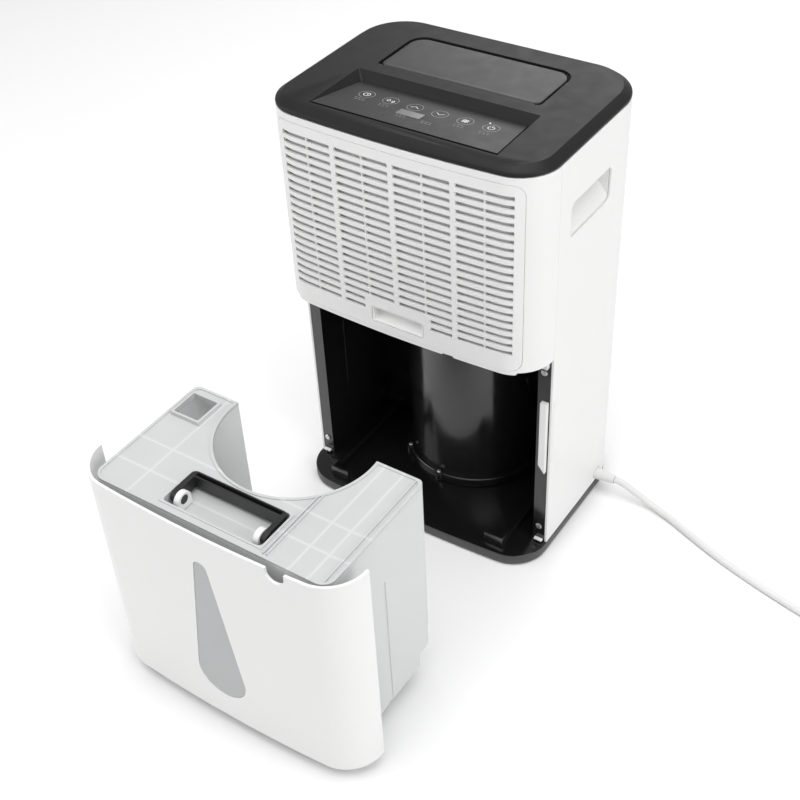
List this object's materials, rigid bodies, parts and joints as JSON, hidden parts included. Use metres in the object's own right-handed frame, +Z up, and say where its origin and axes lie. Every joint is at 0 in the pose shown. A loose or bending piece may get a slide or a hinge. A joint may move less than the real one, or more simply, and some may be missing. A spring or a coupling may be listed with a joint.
{
  "type": "dehumidifier",
  "caption": "Portable compressor dehumidifier with a louvred white case, dark touch-control top, outlet flap and a U-shaped front water tank drawn out.",
  "frame": {"origin": "on the floor, under the middle of the box round the case and the drawn-out tank", "axes": "+X to the viewer's right when facing the front, +Y from front to back, +Z up"},
  "size_m": [0.71, 0.5094, 0.4651],
  "materials": {
    "white_case": "satin",
    "dark_cover": "satin",
    "flap_grey": "satin",
    "panel_grey": "satin",
    "bay_black": "gloss",
    "base_grey": "matte",
    "frosted_tank": "translucent frosted",
    "smoked_window": "translucent",
    "display_lens": "gloss",
    "rubber": "matte",
    "lead_white": "satin",
    "steel": "plain",
    "motor_paint": "satin",
    "switch_black": "matte",
    "copper": "drawn",
    "aluminium": "bare",
    "inner_plastic": "matte",
    "filter_mesh": "woven",
    "board_green": "matte",
    "float_white": "matte"
  },
  "bodies": {
    "case": {"rear_shell": "white_case", "front_shell": "white_case", "grip_cup_left": "white_case", "grip_cup_right": "white_case", "top_cover": "dark_cover", "control_panel": "panel_grey", "bay_liner": "bay_black", "rail_left": "bay_black", "rail_right": "bay_black", "base_tray": "base_grey", "display_window": "display_lens", "foot_front_left": "rubber", "foot_front_right": "rubber", "foot_rear_left": "rubber", "foot_rear_right": "rubber", "grommet_rear": "rubber", "grommet_left": "rubber", "grommet_right": "rubber", "power_cord": "lead_white", "cord_coil": "lead_white", "plug": "lead_white", "strain_relief": "lead_white", "flap_pin_left": "steel", "flap_pin_right": "steel", "liner_screw_1": "steel", "liner_screw_2": "steel", "liner_screw_3": "steel", "liner_screw_4": "steel", "compressor": "motor_paint", "fan_motor": "motor_paint", "flap_motor": "switch_black", "tank_switch": "switch_black", "evaporator_tube": "copper", "condenser_tube": "copper", "suction_pipe": "copper", "discharge_pipe": "copper", "evaporator_fins": "aluminium", "condenser_fins": "aluminium", "outlet_grid": "inner_plastic", "fan_housing": "inner_plastic", "drip_tray": "inner_plastic", "control_board": "board_green"},
    "grille": {"intake_grille": "white_case", "grille_pull": "white_case", "filter_frame": "inner_plastic", "filter_mesh": "filter_mesh"},
    "flap": {"outlet_flap": "flap_grey"},
    "fan": {"fan_wheel": "dark_cover", "fan_shaft": "steel"},
    "plunger": {"switch_plunger": "inner_plastic"},
    "drain_plug": {"drain_cap": "rubber"},
    "tank": {"tank_body": "frosted_tank", "tank_lid": "frosted_tank", "tank_front": "white_case", "level_window": "smoked_window", "handle_lug_left": "white_case", "handle_lug_right": "white_case", "float_rod": "inner_plastic"},
    "handle": {"tank_handle": "bay_black"},
    "float": {"tank_float": "float_white"}
  },
  "joints": [
    {"name": "tank_slide", "type": "slide", "parent": "case", "child": "tank", "axis": [0, 1, 0], "range_m": [0, 0.298]},
    {"name": "handle_fold", "type": "hinge", "parent": "tank", "child": "handle", "pos_m": [0, -0.2208, 0.243], "axis": [-1, 0, 0], "range_deg": [-100, 0]},
    {"name": "float_rise", "type": "slide", "parent": "tank", "child": "float", "axis": [0, 0, 1], "range_m": [0, 0.185]},
    {"name": "flap_hinge", "type": "hinge", "parent": "case", "child": "flap", "pos_m": [0, 0.1556, 0.4626], "axis": [1, 0, 0], "range_deg": [0, 80]},
    {"name": "fan_spin", "type": "hinge", "parent": "case", "child": "fan", "pos_m": [0, 0.1762, 0.345], "axis": [0, 1, 0], "continuous": true},
    {"name": "grille_off", "type": "slide", "parent": "case", "child": "grille", "axis": [0, -1, 0], "range_m": [0, 0.05]},
    {"name": "switch_press", "type": "slide", "parent": "case", "child": "plunger", "axis": [0, 1, 0], "range_m": [0, 0.003], "stiffness_N_per_m": 150, "springref_m": -0.002},
    {"name": "drain_pull", "type": "slide", "parent": "case", "child": "drain_plug", "axis": [0, 1, 0], "range_m": [0, 0.02]}
  ]
}
